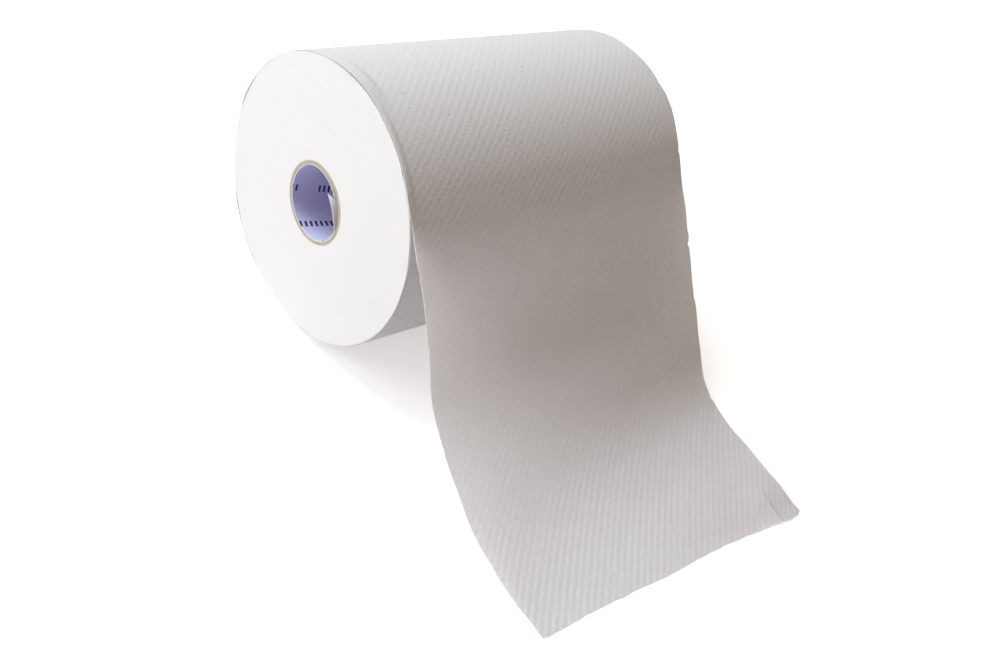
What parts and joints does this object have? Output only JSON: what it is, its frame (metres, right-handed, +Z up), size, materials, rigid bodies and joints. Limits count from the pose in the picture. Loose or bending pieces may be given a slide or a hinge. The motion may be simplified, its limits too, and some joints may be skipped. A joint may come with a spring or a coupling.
{
  "type": "paper towel roll",
  "caption": "Wide soft roll of embossed white paper towel on a board core, lying on its side with the free end of the sheet run out on the floor.",
  "frame": {"origin": "middle of the flat spot that the roll rests on, on the floor under the roll's axis and at half its width", "axes": "+X along the roll's axis and its core, +Z up from the floor, -Y the way the free end of the sheet runs out"},
  "size_m": [0.2, 0.3136, 0.145],
  "materials": {
    "towel_paper": "soft matt, finely embossed",
    "core_board": "matt board",
    "core_inner_ply": "smooth printed paper"
  },
  "bodies": {
    "root": {"towel_web": "towel_paper", "core_tube": "core_board", "core_liner": "core_inner_ply"}
  },
  "joints": []
}
